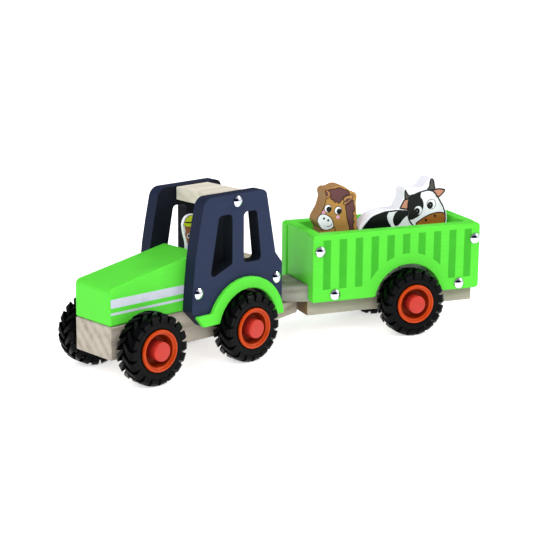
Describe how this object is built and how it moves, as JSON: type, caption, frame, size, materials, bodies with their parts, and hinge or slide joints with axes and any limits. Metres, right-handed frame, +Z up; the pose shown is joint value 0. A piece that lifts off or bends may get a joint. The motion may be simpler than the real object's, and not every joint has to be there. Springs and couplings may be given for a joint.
{
  "type": "toy tractor",
  "caption": "Painted wooden toy tractor with cab, driver and rolling wheels, hitched to a swivelling trailer that carries a loose horse and cow.",
  "frame": {"origin": "middle of the whole set's box, at floor level, with the trailer turned as it is stored", "axes": "+X is the tractor's forward direction, +Y its left side, +Z up; the trailer stands turned 20.55 degrees clockwise about the hitch, seen from above"},
  "size_m": [0.3572, 0.1402, 0.1322],
  "materials": {
    "natural_wood": "sanded, clear",
    "green_paint": "gloss paint",
    "navy_paint": "satin paint",
    "white_paint": "satin paint with printed picture",
    "horse_paint": "satin paint with printed picture",
    "tyre_rubber": "moulded, lugged tread",
    "orange_plastic": "moulded",
    "red_plastic": "moulded",
    "screw_chrome": "polished dome",
    "axle_steel": "drawn rod"
  },
  "bodies": {
    "tractor": {"chassis": "natural_wood", "bonnet": "green_paint", "cab_side_left": "navy_paint", "cab_side_right": "navy_paint", "fender_left": "green_paint", "fender_right": "green_paint", "roof": "natural_wood", "seat_back": "natural_wood", "driver": "white_paint", "hitch_peg": "natural_wood", "cab_screw_top_left": "screw_chrome", "cab_screw_front_left": "screw_chrome", "cab_screw_rear_left": "screw_chrome", "cab_screw_top_right": "screw_chrome", "cab_screw_front_right": "screw_chrome", "cab_screw_rear_right": "screw_chrome"},
    "front_wheels": {"front_axle": "axle_steel", "front_tyre_left": "tyre_rubber", "front_tyre_right": "tyre_rubber", "front_rim_left": "orange_plastic", "front_rim_right": "orange_plastic", "front_cap_left": "red_plastic", "front_cap_right": "red_plastic"},
    "rear_wheels": {"rear_axle": "axle_steel", "rear_tyre_left": "tyre_rubber", "rear_tyre_right": "tyre_rubber", "rear_rim_left": "orange_plastic", "rear_rim_right": "orange_plastic", "rear_cap_left": "red_plastic", "rear_cap_right": "red_plastic"},
    "trailer": {"trailer_floor": "natural_wood", "trailer_beam": "natural_wood", "trailer_side_left": "green_paint", "trailer_side_right": "green_paint", "trailer_front_wall": "green_paint", "trailer_rear_wall": "green_paint", "trailer_screw_front_top_left": "screw_chrome", "trailer_screw_front_low_left": "screw_chrome", "trailer_screw_rear_top_left": "screw_chrome", "trailer_screw_rear_low_left": "screw_chrome", "trailer_screw_front_top_right": "screw_chrome", "trailer_screw_front_low_right": "screw_chrome", "trailer_screw_rear_top_right": "screw_chrome", "trailer_screw_rear_low_right": "screw_chrome"},
    "trailer_wheels": {"trailer_axle": "axle_steel", "trailer_tyre_left": "tyre_rubber", "trailer_tyre_right": "tyre_rubber", "trailer_rim_left": "orange_plastic", "trailer_rim_right": "orange_plastic", "trailer_cap_left": "red_plastic", "trailer_cap_right": "red_plastic"},
    "horse": {"horse": "horse_paint"},
    "cow": {"cow": "white_paint"}
  },
  "joints": [
    {"name": "front_axle_spin", "type": "hinge", "parent": "tractor", "child": "front_wheels", "pos_m": [0.15117, -0.02068, 0.0275], "axis": [0, 1, 0], "continuous": true},
    {"name": "rear_axle_spin", "type": "hinge", "parent": "tractor", "child": "rear_wheels", "pos_m": [0.05797, -0.02068, 0.0275], "axis": [0, 1, 0], "continuous": true},
    {"name": "hitch_turn", "type": "hinge", "parent": "tractor", "child": "trailer", "pos_m": [-0.01053, -0.02068, 0.038], "axis": [0, 0, 1], "range_deg": [-39, 80]},
    {"name": "trailer_axle_spin", "type": "hinge", "parent": "trailer", "child": "trailer_wheels", "pos_m": [-0.10613, 0.01516, 0.0275], "axis": [0.351, 0.9364, 0], "continuous": true},
    {"name": "horse_lift", "type": "slide", "parent": "trailer", "child": "horse", "axis": [0, 0, 1], "range_m": [0, 0.06]},
    {"name": "cow_lift", "type": "slide", "parent": "trailer", "child": "cow", "axis": [0, 0, 1], "range_m": [0, 0.06]}
  ]
}
